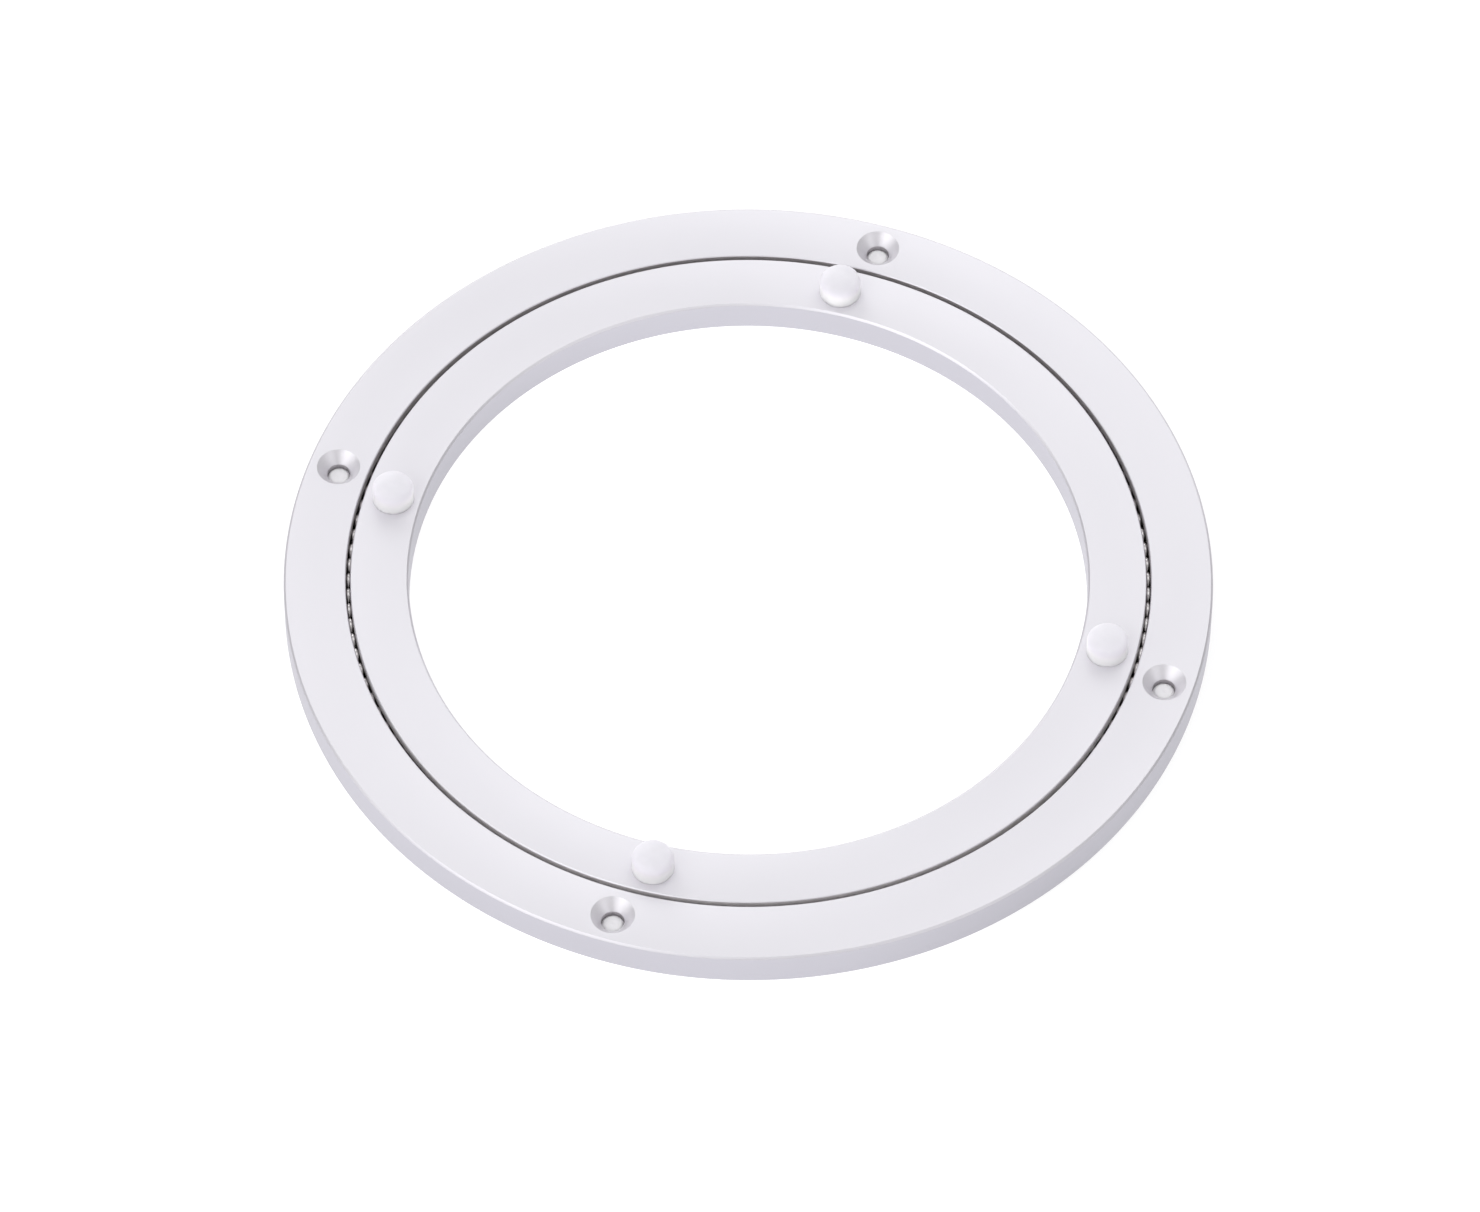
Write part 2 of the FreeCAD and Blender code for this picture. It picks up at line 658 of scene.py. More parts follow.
def turned_copies(thing: Thing, count: int, first: float) -> List[Thing]:
    """Copies of an object spaced evenly about the Z axis; the first one is the object itself.

    Args:
        thing: The object, whose mesh is turned to the first place.
        count: How many there are.
        first: Angle of the first one in radians.

    Returns:
        The objects in order.
    """
    thing.data.transform(Matrix.Rotation(first, 4, "Z"))
    copies = [thing]
    for index in range(1, count):
        mesh = thing.data.copy()
        mesh.transform(Matrix.Rotation(2 * math.pi * index / count, 4, "Z"))
        copies.append(put(thing.name, mesh))
    return copies


# Sizes


@dataclass
class BearingSizes:
    """Sizes that several pieces share, in metres.

    Attributes:
        record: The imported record, for its screw holes.
        ring_gap: Width of the gap between the rings.
        track_clearance: Room between a ball and its groove.
        head_radius: Radius of a countersink at the face.
        countersink_lean: Angle between a countersink and its axis, in radians.
        inner_width: Width of the inner ring.
        edge_chamfer: Chamfer of the free edges.
        gap_chamfer: Chamfer of the edges at the gap.
        edge_rounding: Rounding left on every turned edge.
        filling_radius: Radius of the hole through which the balls are filled in.
        stem_clearance: Room between a soft stem and its hole.
        stem_lead: Length of a stem's tapered end.
        segments: Steps round a ring.
    """

    record: Dict[str, Any]
    ring_gap: float = 0.95 * MM
    track_clearance: float = 0.05 * MM
    head_radius: float = 4.65 * MM
    countersink_lean: float = math.radians(41.0)
    inner_width: float = 12.6 * MM
    edge_chamfer: float = 0.45 * MM
    gap_chamfer: float = 0.2 * MM
    edge_rounding: float = 0.1 * MM
    filling_radius: float = 2.55 * MM
    stem_clearance: float = 0.05 * MM
    stem_lead: float = 0.6 * MM
    segments: int = 480
    outer_radius: float = field(init=False)
    thickness: float = field(init=False)
    inner_gap_radius: float = field(init=False)
    inner_bottom: float = field(init=False)
    ball_radius: float = field(init=False)
    screw_circle: float = field(init=False)
    hole_radius: float = field(init=False)
    hole_count: int = field(init=False)

    def __post_init__(self) -> None:
        """Read the other sizes from the frame."""
        outer_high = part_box("outer_ring")[1]
        inner_low, inner_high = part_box("inner_ring")
        ball_low, ball_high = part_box("bearing_balls")
        holes = next(m for m in self.record["mounts"] if m["kind"] == "bolt_pattern")["dims"]
        self.outer_radius = outer_high.x
        self.thickness = outer_high.z
        self.inner_gap_radius = inner_high.x
        self.inner_bottom = inner_low.z
        self.ball_radius = (ball_high.z - ball_low.z) / 2
        self.screw_circle = holes["pcd_mm"] / 2 * MM
        self.hole_radius = holes["hole_r_mm"] * MM
        self.hole_count = holes["count"]

    @property
    def race_radius(self) -> float:
        """Radius of the circle through the balls' centres."""
        return self.inner_gap_radius + self.ring_gap / 2

    @property
    def race_height(self) -> float:
        """Height of the balls' centres."""
        return self.thickness / 2

    @property
    def groove_radius(self) -> float:
        """Radius of the groove's section."""
        return self.ball_radius + self.track_clearance

    @property
    def stem_radius(self) -> float:
        """Radius of a soft stem."""
        return self.hole_radius - self.stem_clearance

    @property
    def bore_radius(self) -> float:
        """Radius of the open centre."""
        return self.inner_gap_radius - self.inner_width

    @property
    def pad_circle(self) -> float:
        """Radius of the circle through the pads' centres."""
        return self.inner_gap_radius - self.inner_width / 2


@dataclass
class Piece:
    """A piece, or several of a kind.

    Attributes:
        sizes: The bearing's shared sizes.
    """

    sizes: BearingSizes


@dataclass
class Ring(Piece):
    """One flat ring, turned, grooved and drilled.

    Attributes:
        node: The model's node that it stands for.
        free_radius: Radius of the wall away from the gap.
        gap_radius: Radius of the wall at the gap.
        bottom: Height of its underside.
        hole_circle: Radius of the circle through its holes.
        first_hole: Angle of its first hole in radians.
        facing: Which face is countersunk.
        overshoot: How far the cutter of a hole reaches past the ring.
        edge_break: Size of the broken edges of a countersink.
        throat_share: Share of that at the cone's narrow end.
        rim_share: Share of it at the cone's rim.
        flare_slope: Rise of the cutter beyond the rim.
        track_slack: Room between the groove and what is still told as the groove.
    """

    node: str
    free_radius: float
    gap_radius: float
    bottom: float
    hole_circle: float
    first_hole: float
    facing: Facing
    overshoot: float = 0.5 * MM
    edge_break: float = 0.08 * MM
    throat_share: float = 0.4
    rim_share: float = 0.7
    flare_slope: float = 0.45
    track_slack: float = 0.02 * MM

    def section(self) -> List[SectionPoint]:
        """The ring's section with its groove.

        Returns:
            Closed list of points.
        """
        s = self.sizes
        to_gap = math.copysign(1.0, self.gap_radius - self.free_radius)
        top = s.thickness
        edge = self.free_radius + to_gap * s.edge_chamfer
        lip = self.gap_radius - to_gap * s.gap_chamfer
        corners = [Corner(radius, height, s.edge_rounding) for radius, height in (
            (self.gap_radius, top - s.gap_chamfer), (lip, top), (edge, top),
            (self.free_radius, top - s.edge_chamfer), (self.free_radius, self.bottom + s.edge_chamfer),
            (edge, self.bottom), (lip, self.bottom), (self.gap_radius, self.bottom + s.gap_chamfer))]
        mouth = to_gap * math.acos(s.ring_gap / 2 / s.groove_radius)
        middle = math.pi if to_gap > 0 else 0.0
        groove = arc_points((s.race_radius, s.race_height), s.groove_radius, middle + mouth, middle - mouth,
                            GROOVE_STEPS)
        return rounded_section(corners) + groove

    def screw_hole(self) -> Thing:
        """Cutter of one countersunk hole, at its place on the +X axis.

        Returns:
            The cutter.
        """
        s = self.sizes
        over, lip, face = self.overshoot, self.edge_break, s.thickness
        slope = math.tan(s.countersink_lean)
        throat_height = face - (s.head_radius - s.hole_radius) / slope
        throat = lip * self.throat_share
        rim = s.head_radius + lip * self.rim_share
        above = face + over * self.flare_slope
        section = [(0.0, -over), (s.hole_radius, -over), (s.hole_radius, throat_height - lip),
                   (s.hole_radius + throat, throat_height + throat),
                   (s.head_radius - lip * slope, face - lip), (rim, face), (rim + over, above),
                   (0.0, above)]
        cutter = lathe("screw_hole", section, HOLE_SEGMENTS, surface=Surface.DRILLED)
        for side in filter(upright, cutter.data.polygons):
            side.material_index = Surface.SHANK.value
        if self.facing is Facing.DOWN:
            flipped = Matrix.Translation((0, 0, self.bottom + face)) @ Matrix.Rotation(math.pi, 4, "X")
            cutter.data.transform(flipped)
        cutter.data.transform(Matrix.Translation((self.hole_circle, 0, 0)))
        return cutter

    def mark_surfaces(self, ring: Thing) -> None:
        """Number the groove's faces as track, the turned walls as gap or wall, and the broken edges.

        Args:
            ring: The ring.
        """
        s = self.sizes
        reach = s.groove_radius + self.track_slack
        for face in ring.data.polygons:
            radius = face.center.xy.length
            surface = Surface(face.material_index)
            if math.hypot(radius - s.race_radius, face.center.z - s.race_height) < reach:
                surface = Surface.TRACK
            elif surface is Surface.MAIN and upright(face):
                at_gap = abs(radius - self.gap_radius) < s.edge_rounding
                surface = Surface.GAP if at_gap else Surface.WALL
            elif surface is Surface.MAIN and abs(face.normal.z) < LEVEL_NORMAL:
                surface = Surface.EDGE
            face.material_index = surface.value

    def build(self, finishes: Dict[Surface, Finish],
              more_cutters: Sequence[Thing] = ()) -> Thing:
        """Make the ring.

        Args:
            finishes: The finish of each surface.
            more_cutters: Further shapes to cut away.

        Returns:
            The finished ring.
        """
        ring = lathe(self.node + "_turned", self.section(), self.sizes.segments, closed=True)
        holes = turned_copies(self.screw_hole(), self.sizes.hole_count, self.first_hole)
        carved(ring, joined("cutters", [*holes, *more_cutters]))
        self.mark_surfaces(ring)
        dress(ring, [finishes[surface] for surface in Surface], RING_CREASE)
        return ring


@dataclass
class BallRow(Piece):
    """The full row of balls, laid out by Geometry Nodes.

    Attributes:
        play: Room between one ball and the next.
        detail: Subdivisions of each ball.
        seed: Seed of the balls' random turn.
    """

    play: float = 0.04 * MM
    detail: int = 3
    seed: int = 7

    @property
    def count(self) -> int:
        """Number of balls that fit side by side."""
        half_pitch = (2 * self.sizes.ball_radius + self.play) / 2 / self.sizes.race_radius
        return int(math.pi / math.asin(half_pitch))

    def tree(self, finish: Finish) -> bpy.types.NodeTree:
        """Node tree that puts a ball on each place of a circle.

        Args:
            finish: The balls' finish.

        Returns:
            The tree.
        """
        tree = bpy.data.node_groups.new("ball_row", "GeometryNodeTree")
        tree.interface.new_socket("Geometry", in_out="OUTPUT", socket_type="NodeSocketGeometry")
        for name, value in self.values().items():
            kind = "NodeSocketInt" if isinstance(value, int) else "NodeSocketFloat"
            tree.interface.new_socket(name, in_out="INPUT", socket_type=kind)
        graph = Graph(tree)
        given = graph.node("NodeGroupInput").outputs
        circle = graph.node("GeometryNodeMeshCircle",
                            {"Vertices": given["Ball Count"], "Radius": given["Race Radius"]})
        lift = graph.node("ShaderNodeCombineXYZ", {"Z": given["Race Height"]})
        raised = graph.node("GeometryNodeSetPosition",
                            {"Geometry": circle.outputs["Mesh"], "Offset": lift.outputs["Vector"]})
        ball = graph.node("GeometryNodeMeshIcoSphere",
                          {"Radius": given["Ball Radius"], "Subdivisions": given["Detail"]})
        spin = graph.node("FunctionNodeRandomValue",
                          {0: (0.0,) * 3, 1: (math.pi,) * 3, "Seed": given["Seed"]},
                          data_type="FLOAT_VECTOR")
        turn = graph.node("FunctionNodeEulerToRotation", {"Euler": spin.outputs[0]})
        row = graph.node("GeometryNodeInstanceOnPoints",
                         {"Points": raised.outputs["Geometry"], "Instance": ball.outputs["Mesh"],
                          "Rotation": turn.outputs["Rotation"]})
        balls = row.outputs["Instances"]
        for kind, extra in (("RealizeInstances", {}), ("SetShadeSmooth", {}),
                            ("SetMaterial", {"Material": material_of(finish)})):
            balls = graph.node("GeometryNode" + kind, {"Geometry": balls, **extra}).outputs["Geometry"]
        graph.node("NodeGroupOutput", {"Geometry": balls})
        return tree

    def values(self) -> Dict[str, Union[int, float]]:
        """What the node tree is given, by the names of its sockets."""
        return {"Race Radius": self.sizes.race_radius, "Race Height": self.sizes.race_height,
                "Ball Radius": self.sizes.ball_radius, "Ball Count": self.count,
                "Detail": self.detail, "Seed": self.seed}

    def build(self, finish: Finish) -> Thing:
        """Make the row as one plain mesh.

        Args:
            finish: The balls' finish.

        Returns:
            The row.
        """
        row = put("ball_row", bpy.data.meshes.new("ball_row"))
        modifier = row.modifiers.new("balls", "NODES")
        modifier.node_group = self.tree(finish)
        values = self.values()
        for item in modifier.node_group.interface.items_tree:
            if item.name in values:
                modifier[item.identifier] = values[item.name]
        row.data = settled_mesh(row)
        row.modifiers.clear()
        return row


@dataclass
class Pad(Piece):
    """One soft pad with its stem in the ring's hole.

    Attributes:
        node: The model's node that it stands for.
        crown: How far the middle of its top rises.
        edge: Radius of its rounded shoulder.
        foot: Chamfer at its foot.
        dimple_radius: Radius of the moulding mark on its top.
        dimple_depth: Depth of that mark.
        crown_steps: Steps from the middle of its top to the shoulder.
        shoulder_steps: Steps round the shoulder.
        foot_steps: Steps round the foot.
    """

    node: str
    crown: float = 0.4 * MM
    edge: float = 1.6 * MM
    foot: float = 0.05 * MM
    dimple_radius: float = 0.8 * MM
    dimple_depth: float = 0.06 * MM
    crown_steps: int = 12
    shoulder_steps: int = 10
    foot_steps: int = 4

    def section(self, radius: float, height: float, depth: float) -> List[SectionPoint]:
        """The pad's section, from the top of its axis to the bottom of its stem.

        Args:
            radius: Its radius.
            height: Its height over the ring.
            depth: Length of its stem.

        Returns:
            The points.
        """
        shoulder_radius = radius - self.edge
        shoulder_height = height - self.crown - self.edge
        rise = height - shoulder_height
        crown_radius = (shoulder_radius ** 2 + rise ** 2 - self.edge ** 2) / (2 * (rise - self.edge))
        centre_height = height - crown_radius
        lean = math.atan2(shoulder_radius, shoulder_height - centre_height)
        top = []
        for step in range(self.crown_steps + 1):
            angle = lean * step / self.crown_steps
            reach = crown_radius * math.sin(angle)
            sink = self.dimple_depth * max(0.0, 1 - (reach / self.dimple_radius) ** 2) ** 2
            top.append((reach, centre_height + crown_radius * math.cos(angle) - sink))
        shoulder = arc_points((shoulder_radius, shoulder_height), self.edge, math.pi / 2 - lean, 0.0,
                              self.shoulder_steps)
        stem, lead = self.sizes.stem_radius, self.sizes.stem_lead
        foot = arc_points((radius - self.foot, self.foot), self.foot, 0.0, -math.pi / 2, self.foot_steps)
        tip = [(stem, 0.0), (stem, lead - depth), (stem - lead / 2, -depth), (0.0, -depth)]
        return top + shoulder[1:] + foot + tip

    def build(self, finish: Finish) -> Thing:
        """Make the pad where its node is.

        Args:
            finish: Its finish.

        Returns:
            The pad.
        """
        low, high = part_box(self.node)
        ring_top = self.sizes.thickness
        section = self.section((high.x - low.x) / 2, high.z - ring_top, ring_top - low.z)
        pad = lathe("silicone_" + self.node, section, HOLE_SEGMENTS)
        middle = (low + high) / 2
        pad.data.transform(Matrix.Translation((middle.x, middle.y, ring_top)))
        dress(pad, [finish], SOFT_CREASE)
        return pad


@dataclass
class Stoppers(Piece):
    """The soft stoppers that fill the straight part of the screw holes until the screws go in.

    Attributes:
        length: How high each one reaches.
        rounding: Radius of its moulded edges.
        lead: Width of its bevelled end.
        dimple_radius: Radius of the moulding mark on its end.
        dimple_depth: Depth of that mark.
        dimple_floor: Shares of that radius and depth where its floor ends.
    """

    length: float = 5.3 * MM
    rounding: float = 0.3 * MM
    lead: float = 0.65 * MM
    dimple_radius: float = 0.55 * MM
    dimple_depth: float = 0.15 * MM
    dimple_floor: Tuple[float, float] = (0.6, 0.8)

    def build(self, finish: Finish) -> List[Thing]:
        """Make one stopper for each hole.

        Args:
            finish: Their finish.

        Returns:
            The stoppers.
        """
        s = self.sizes
        across, down = self.dimple_floor
        corners = [
            Corner(0.0, self.length - self.dimple_depth),
            Corner(self.dimple_radius * across, self.length - self.dimple_depth * down),
            Corner(self.dimple_radius, self.length),
            Corner(s.stem_radius - self.lead, self.length, self.rounding),
            Corner(s.stem_radius, self.length - self.lead, self.rounding),
            Corner(s.stem_radius, 0.0, self.rounding),
            Corner(0.0, 0.0),
        ]
        stopper = lathe("hole_stopper", rounded_section(corners), SMALL_SEGMENTS)
        stopper.data.transform(Matrix.Translation((s.screw_circle, 0.0, 0.0)))
        dress(stopper, [finish], SOFT_CREASE)
        return turned_copies(stopper, s.hole_count, 0.0)


@dataclass
class FillingHole(Piece):
    """The radial hole through which the balls go in, and the grub screw that closes it.

    Attributes:
        node: The grub screw's node.
        radius: Radius of the screw over its thread.
        recess: How deep the screw sits under the ring's wall.
        end_chamfer: Chamfer of the screw's ends.
        thread_pitch: Spacing of its thread.
        thread_depth: Depth of its thread.
        thread_flat: Share of the pitch that a crest is wide.
        socket_flats: Width across the flats of its hexagon socket.
        socket_depth: Depth of that socket.
        socket_tip: Depth of its pointed floor, as a share of its radius.
        socket_draft: How much wider it is at its mouth.
        socket_rim: How much wider its broken edge is.
        socket_break: Depth of that edge.
        overshoot: How far the socket's cutter reaches past the screw.
        edge_break: Width of the broken edge at the hole's mouth.
    """

    node: str = "loading_plug"
    radius: float = 2.5 * MM
    recess: float = 1.6 * MM
    end_chamfer: float = 0.5 * MM
    thread_pitch: float = 0.8 * MM
    thread_depth: float = 0.3 * MM
    thread_flat: float = 1 / 8
    socket_flats: float = 2.5 * MM
    socket_depth: float = 3.0 * MM
    socket_tip: float = 0.5
    socket_draft: float = 1.02
    socket_rim: float = 1.15
    socket_break: float = 0.15 * MM
    overshoot: float = 0.1 * MM
    edge_break: float = 0.12 * MM

    def placed(self, thing: Thing) -> Thing:
        """Lay something turned about Z along the hole instead, with its zero at the bearing's axis.

        Args:
            thing: The object, whose mesh is moved.

        Returns:
            The same object.
        """
        low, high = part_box(self.node)
        middle = (low + high) / 2
        lying = Matrix.Rotation(math.pi / 2, 4, "Y")
        turned = Matrix.Rotation(math.atan2(middle.y, middle.x), 4, "Z")
        thing.data.transform(Matrix.Translation((0, 0, self.sizes.race_height)) @ turned @ lying)
        return thing

    def cutter(self) -> Thing:
        """What is drilled out of the outer ring.

        Returns:
            The cutter.
        """
        s = self.sizes
        wall = s.outer_radius
        mouth = s.filling_radius + self.edge_break
        beyond = wall + self.radius
        section = [(0.0, s.race_radius), (s.filling_radius, s.race_radius),
                   (s.filling_radius, wall - self.edge_break), (mouth, wall), (mouth, beyond),
                   (0.0, beyond)]
        return self.placed(lathe("filling_hole", section, SMALL_SEGMENTS, surface=Surface.DRILLED))

    def screw(self, finish: Finish) -> Thing:
        """The grub screw.

        Args:
            finish: Its finish.

        Returns:
            The screw.
        """
        s = self.sizes
        start = s.race_radius + s.groove_radius
        end = s.outer_radius - self.recess
        root = self.radius - self.thread_depth
        end_radius = self.radius - self.end_chamfer
        half, flat = self.thread_pitch / 2, self.thread_pitch * self.thread_flat
        section = [(0.0, start), (end_radius, start)]
        crest = start + self.end_chamfer
        while crest + self.thread_pitch < end - self.end_chamfer:
            section += [(self.radius, crest), (self.radius, crest + flat),
                        (root, crest + half), (root, crest + half + flat)]
            crest += self.thread_pitch
        section += [(self.radius, crest), (self.radius, end - self.end_chamfer), (end_radius, end),
                    (0.0, end)]
        screw = lathe("grub_screw", section, SMALL_SEGMENTS)
        corner = self.socket_flats / math.sqrt(3)
        bottom = end - self.socket_depth
        beyond = end + self.overshoot
        cutter = [(0.0, bottom - corner * self.socket_tip), (corner, bottom),
                  (corner * self.socket_draft, end - self.socket_break),
                  (corner * self.socket_rim, beyond), (0.0, beyond)]
        carved(screw, lathe("socket", cutter, HEXAGON_SEGMENTS))
        dress(self.placed(screw), [finish], SCREW_CREASE)
        return screw


# Studio


@dataclass(frozen=True)
class Panel:
    """A round, soft-edged panel of light, far from the object.

    Attributes:
        name: What it is.
        azimuth: Where it hangs, in degrees from the right of the view towards the back.
        elevation: How high it hangs, in degrees.
        radiance: How bright its face is.
        half_angle: Half of the angle that it fills, in degrees.
        edge: Shares of that angle at which its light starts and is full.
    """

    name: str
    azimuth: float
    elevation: float
    radiance: float
    half_angle: float = 19.0
    edge: Tuple[float, float] = (1.3, 0.7)

    def shine(self, graph: Graph, direction: Socket, view_azimuth: float) -> Term:
        """Write the panel's brightness.

        Args:
            graph: The world's tree.
            direction: Where a ray goes.
            view_azimuth: The camera's azimuth in degrees.

        Returns:
            Its brightness in that direction.
        """
        around = math.radians(self.azimuth + view_azimuth)
        up = math.radians(self.elevation)
        middle = (math.cos(around) * math.cos(up), math.sin(around) * math.cos(up), math.sin(up))
        outside, inside = (math.cos(math.radians(self.half_angle * share)) for share in self.edge)
        return graph.smooth_step(graph.dot(direction, middle), outside, inside) * self.radiance


@dataclass(frozen=True)
class Glow:
    """The floor's own light, stronger on one side of the axis.

    Attributes:
        azimuth: Where it is strongest, in degrees from the right of the view towards the back.
        least: How bright it is on the far side.
        most: How bright it is where it is strongest.
        start: Cosine of the angle from there at which it starts to rise.
    """

    azimuth: float
    least: float
    most: float
    start: float

    def shine(self, graph: Graph, place: Socket, reach: Term, view_azimuth: float) -> Term:
        """Write the light's brightness.

        Args:
            graph: The floor's tree.
            place: A point on the floor.
            reach: Its distance from the axis.
            view_azimuth: The camera's azimuth in degrees.

        Returns:
            The brightness there.
        """
        around = math.radians(self.azimuth + view_azimuth)
        lean = graph.dot(place, (math.cos(around), math.sin(around), 0.0)) / reach
        return graph.smooth_step(lean, self.start, 1.0, self.least, self.most)


@dataclass(frozen=True)
class Studio:
    """Floor, light and camera.

    Attributes:
        azimuth: The view's azimuth in degrees, 0 looking along +Y.
        elevation: How steeply the camera looks down, in degrees.
        roll: How far the camera leans, in degrees.
        distance: From the camera to the point it looks at.
        aim: The point on the floor at the middle of the picture.
        focal_px: Focal length in pixels of the photograph's frame.
        sky: Brightness of the surrounding light, at the horizon and higher up.
        sky_rise: Height on the unit sphere above which that light is even.
        floor_shade: How much light the floor gives back.
        floor_roughness: Its roughness.
        floor_gloss: Its gloss.
        glow_inside: The floor's own light inside the bearing.
        glow_outside: The floor's own light round it.
        glow_change: Radii between which the one gives way to the other.
        floor_side: The floor's side.
        view_reach: How far the camera sees.
        panels: The soft lights.
    """

    azimuth: float = 17.63
    elevation: float = 53.996
    roll: float = 0.239
    distance: float = 2251.15 * MM
    aim: Tuple[float, float, float] = (-0.959 * MM, -2.854 * MM, 0.0)
    focal_px: float = 10435.16
    sky: Tuple[float, float] = (0.15, 0.69)
    sky_rise: float = 0.35
    floor_shade: float = 0.35
    floor_roughness: float = 0.9
    floor_gloss: float = 0.1
    glow_inside: Glow = Glow(70.0, 0.74, 0.99, -0.2)
    glow_outside: Glow = Glow(242.0, 0.72, 0.95, 0.3)
    glow_change: Tuple[float, float] = (76 * MM, 98 * MM)
    floor_side: float = 12.0
    view_reach: float = 50.0
    panels: Tuple[Panel, ...] = (
        Panel("back_low_left", 110.0, 25.0, 1.95),
        Panel("back_right", 58.0, 42.0, 1.23),
        Panel("top", 90.0, 86.0, 0.87),
        Panel("left_high", 200.0, 50.0, 1.05),
        Panel("left_low", 198.0, 22.0, 0.64),
        Panel("front_left", 235.0, 35.0, 1.30),
        Panel("front_right", 315.0, 30.0, 0.70),
    )

    def build(self) -> None:
        """Set up floor, light, camera and the colour transform."""
        self._floor()
        self._room()
        self._camera()
        bpy.context.scene.view_settings.view_transform = "Standard"
        bpy.context.scene.view_settings.look = "None"

    def _floor(self) -> None:
        """Lay the pale floor at the height of the outer ring's underside."""
        mesh = bpy.data.meshes.new("floor")
        half = self.floor_side / 2
        corners = [(-half, -half, 0), (half, -half, 0), (half, half, 0), (-half, half, 0)]
        mesh.from_pydata(corners, [], [(0, 1, 2, 3)])
        material = bpy.data.materials.new("pale_floor")
        material.use_nodes = True
        graph = Graph(material.node_tree)
        shader = material.node_tree.nodes["Principled BSDF"]
        shader.inputs["Base Color"].default_value = (self.floor_shade,) * 3 + (1.0,)
        shader.inputs["Roughness"].default_value = self.floor_roughness
        shader.inputs["Specular IOR Level"].default_value = self.floor_gloss
        shader.inputs["Emission Strength"].default_value = 1.0
        place = graph.node("ShaderNodeTexCoord").outputs["Object"]
        length = graph.node("ShaderNodeVectorMath", {0: place}, operation="LENGTH")
        reach = graph.term(length, "Value")
        outwards = graph.smooth_step(reach, *self.glow_change)
        inside, outside = (glow.shine(graph, place, reach, self.azimuth)
                           for glow in (self.glow_inside, self.glow_outside))
        graph.feed(shader.inputs["Emission Color"], inside + outwards * (outside - inside))
        mesh.materials.append(material)
        put("floor", mesh)

    def _room(self) -> None:
        """Light the room evenly and hang the soft panels in it."""
        world = bpy.data.worlds.new("soft_room")
        world.use_nodes = True
        world.node_tree.nodes.clear()
        graph = Graph(world.node_tree)
        direction = graph.node("ShaderNodeTexCoord").outputs["Generated"]
        light = graph.smooth_step(graph.axis(direction, "Z"), 0.0, self.sky_rise, *self.sky)
        for panel in self.panels:
            light = panel.shine(graph, direction, self.azimuth) + light
        back = graph.node("ShaderNodeBackground", {"Color": (1.0, 1.0, 1.0, 1.0), "Strength": light})
        graph.node("ShaderNodeOutputWorld", {"Surface": back.outputs["Background"]})
        bpy.context.scene.world = world

    def _camera(self) -> None:
        """Put the camera where the photograph was taken from."""
        lens = bpy.data.cameras.new("photo_view")
        lens.sensor_width = SENSOR_WIDTH_MM
        lens.lens = self.focal_px / PHOTO_WIDTH_PX * lens.sensor_width
        lens.clip_end = self.view_reach
        camera = put("photo_view", lens)
        around = math.radians(self.azimuth)
        up = math.radians(self.elevation)
        away = Vector((math.sin(around) * math.cos(up), -math.cos(around) * math.cos(up), math.sin(up)))
        camera.location = Vector(self.aim) + away * self.distance
        turn = Matrix.Rotation(around, 4, "Z") @ Matrix.Rotation(math.pi / 2 - up, 4, "X")
        camera.rotation_euler = (turn @ Matrix.Rotation(math.radians(self.roll), 4, "Z")).to_euler()
        bpy.context.scene.camera = camera


# What each surface and piece is finished with

RING_FINISHES: Dict[Surface, Finish] = {
    Surface.MAIN: MatteAluminium("ring_aluminium", (0.678, 0.667, 0.705), (0.658, 0.647, 0.685), metal=0.5),
    Surface.DRILLED: BareMetal("drilled_aluminium", (0.71, 0.695, 0.73), (0.65, 0.635, 0.67),
                               roughness=0.40, metal=0.65),
    # Painted shade: the groove is coloured much darker than the faces, darker on the outer ring than on the
    # inner.
    Surface.TRACK: BareMetal("track_aluminium", (0.32, 0.295, 0.295), (0.26, 0.24, 0.24), grain=0.2 * MM),
    # Painted shade: the upright walls are coloured darker than the faces.
    Surface.WALL: MatteAluminium("wall_aluminium", (0.53, 0.52, 0.57), (0.51, 0.50, 0.55)),
    # Painted shade: the outer ring's wall at the gap is coloured darker than its faces.
    Surface.GAP: BareMetal("gap_aluminium", (0.52, 0.50, 0.51), (0.46, 0.44, 0.45), roughness=0.75),
    # Painted shade: the straight walls of the screw holes are coloured darker than their countersinks.
    Surface.SHANK: BareMetal("shank_aluminium", (0.54, 0.52, 0.54), (0.48, 0.46, 0.48),
                             roughness=0.42, relief=0.002 * MM),
    Surface.EDGE: MatteAluminium("edge_aluminium", (0.675, 0.66, 0.70), (0.655, 0.64, 0.68)),
}
INNER_RING_FINISHES: Dict[Surface, Finish] = {
    **RING_FINISHES,
    # Painted shade: the inner ring's groove is coloured darker than its faces.
    Surface.TRACK: BareMetal("inner_track_aluminium", (0.56, 0.53, 0.52), (0.48, 0.45, 0.44),
                             grain=0.2 * MM),
    # Painted light: the inner ring's wall at the gap is coloured far lighter than its faces.
    Surface.GAP: BareMetal("inner_gap_aluminium", (0.88, 0.86, 0.87), (0.82, 0.80, 0.81), roughness=0.75),
    # Painted light: the inner ring's chamfers and rounded edges are coloured lighter than the outer ring's.
    Surface.EDGE: MatteAluminium("inner_edge_aluminium", (0.715, 0.70, 0.742), (0.694, 0.678, 0.72)),
}
BALL_STEEL = BareMetal("ball_steel", (0.60, 0.58, 0.59), (0.50, 0.48, 0.48), roughness=0.22, grain=0.2 * MM,
                       relief=0.001 * MM, grain_detail=1.0, film=1.2 * MM, gloss=0.12)
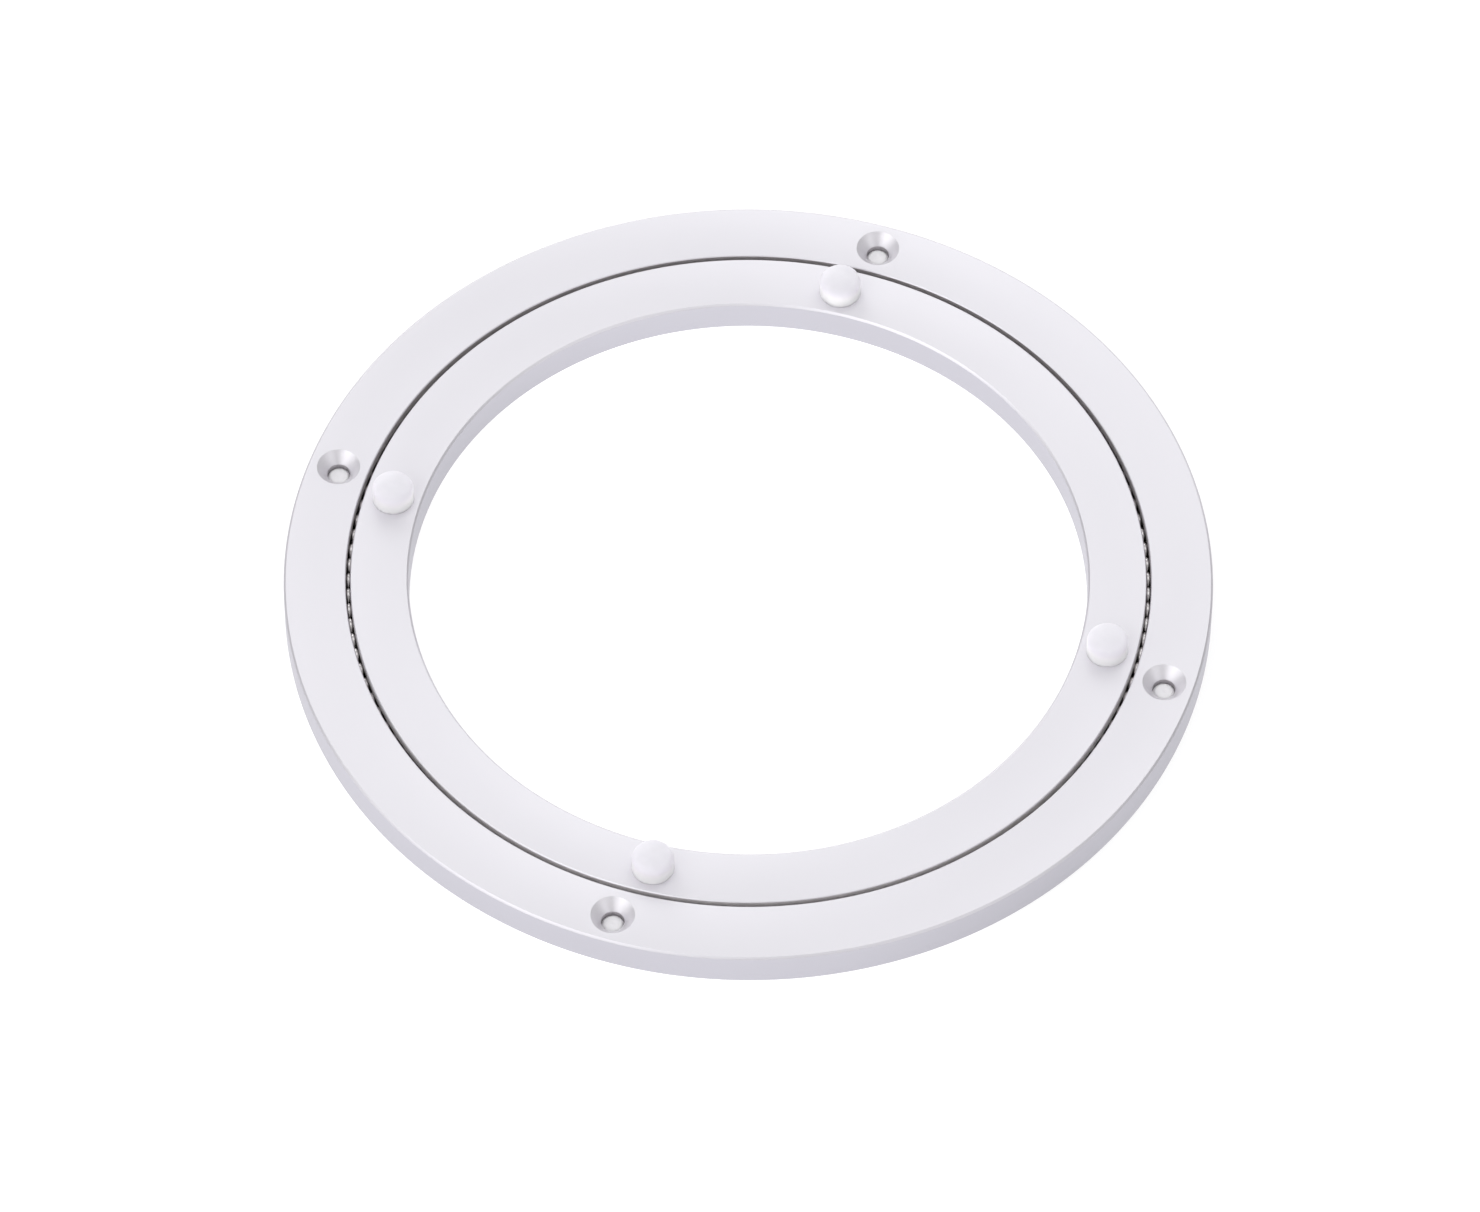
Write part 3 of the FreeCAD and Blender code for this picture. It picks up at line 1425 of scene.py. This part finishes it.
PLUG_STEEL = BareMetal("plug_steel", (0.45, 0.45, 0.46), (0.38, 0.38, 0.38), roughness=0.35, grain=0.1 * MM,
                       film=0.8 * MM, gloss=0.2)
PAD_SILICONE = SoftSilicone("pad_silicone", (0.74, 0.73, 0.77), (0.68, 0.67, 0.71))
STOPPER_SILICONE = replace(PAD_SILICONE, name="stopper_silicone", low=(0.85, 0.84, 0.875), scatter=3.0 * MM)


# Making


def finish_piece(piece: Thing, body: str, nodes: Sequence[str]) -> None:
    """Tie a finished piece to the frame.

    Args:
        piece: The piece.
        body: The body that it moves with.
        nodes: The nodes that it stands for.
    """
    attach(piece, body)
    if nodes:
        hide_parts(*nodes)
    LOG.info("%s: %d faces on body %s", piece.name, len(piece.data.polygons), body)


def main() -> None:
    """Build the bearing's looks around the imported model."""
    logging.basicConfig(level=logging.INFO, format="%(name)s %(message)s")
    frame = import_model()
    sizes = BearingSizes(frame["record"])
    pad_low, pad_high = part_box("pad_1")
    pad_middle = (pad_low + pad_high) / 2
    inner_turn = math.atan2(pad_middle.y, pad_middle.x)
    outer = Ring(sizes, "outer_ring", sizes.outer_radius, sizes.race_radius + sizes.ring_gap / 2, 0.0,
                 sizes.screw_circle, 0.0, Facing.UP)
    inner = Ring(sizes, "inner_ring", sizes.bore_radius, sizes.inner_gap_radius, sizes.inner_bottom,
                 sizes.pad_circle, inner_turn, Facing.DOWN)
    filling = FillingHole(sizes)
    finish_piece(outer.build(RING_FINISHES, [filling.cutter()]), "outer", ["outer_ring"])
    finish_piece(inner.build(INNER_RING_FINISHES), "inner", ["inner_ring"])
    finish_piece(BallRow(sizes).build(BALL_STEEL), "balls", ["bearing_balls"])
    for node in ("pad_1", "pad_2", "pad_3", "pad_4"):
        finish_piece(Pad(sizes, node).build(PAD_SILICONE), "inner", [node])
    for stopper in Stoppers(sizes).build(STOPPER_SILICONE):
        finish_piece(stopper, "outer", [])
    finish_piece(filling.screw(PLUG_STEEL), "outer", ["loading_plug"])
    Studio().build()


if __name__ == "__main__":
    main()
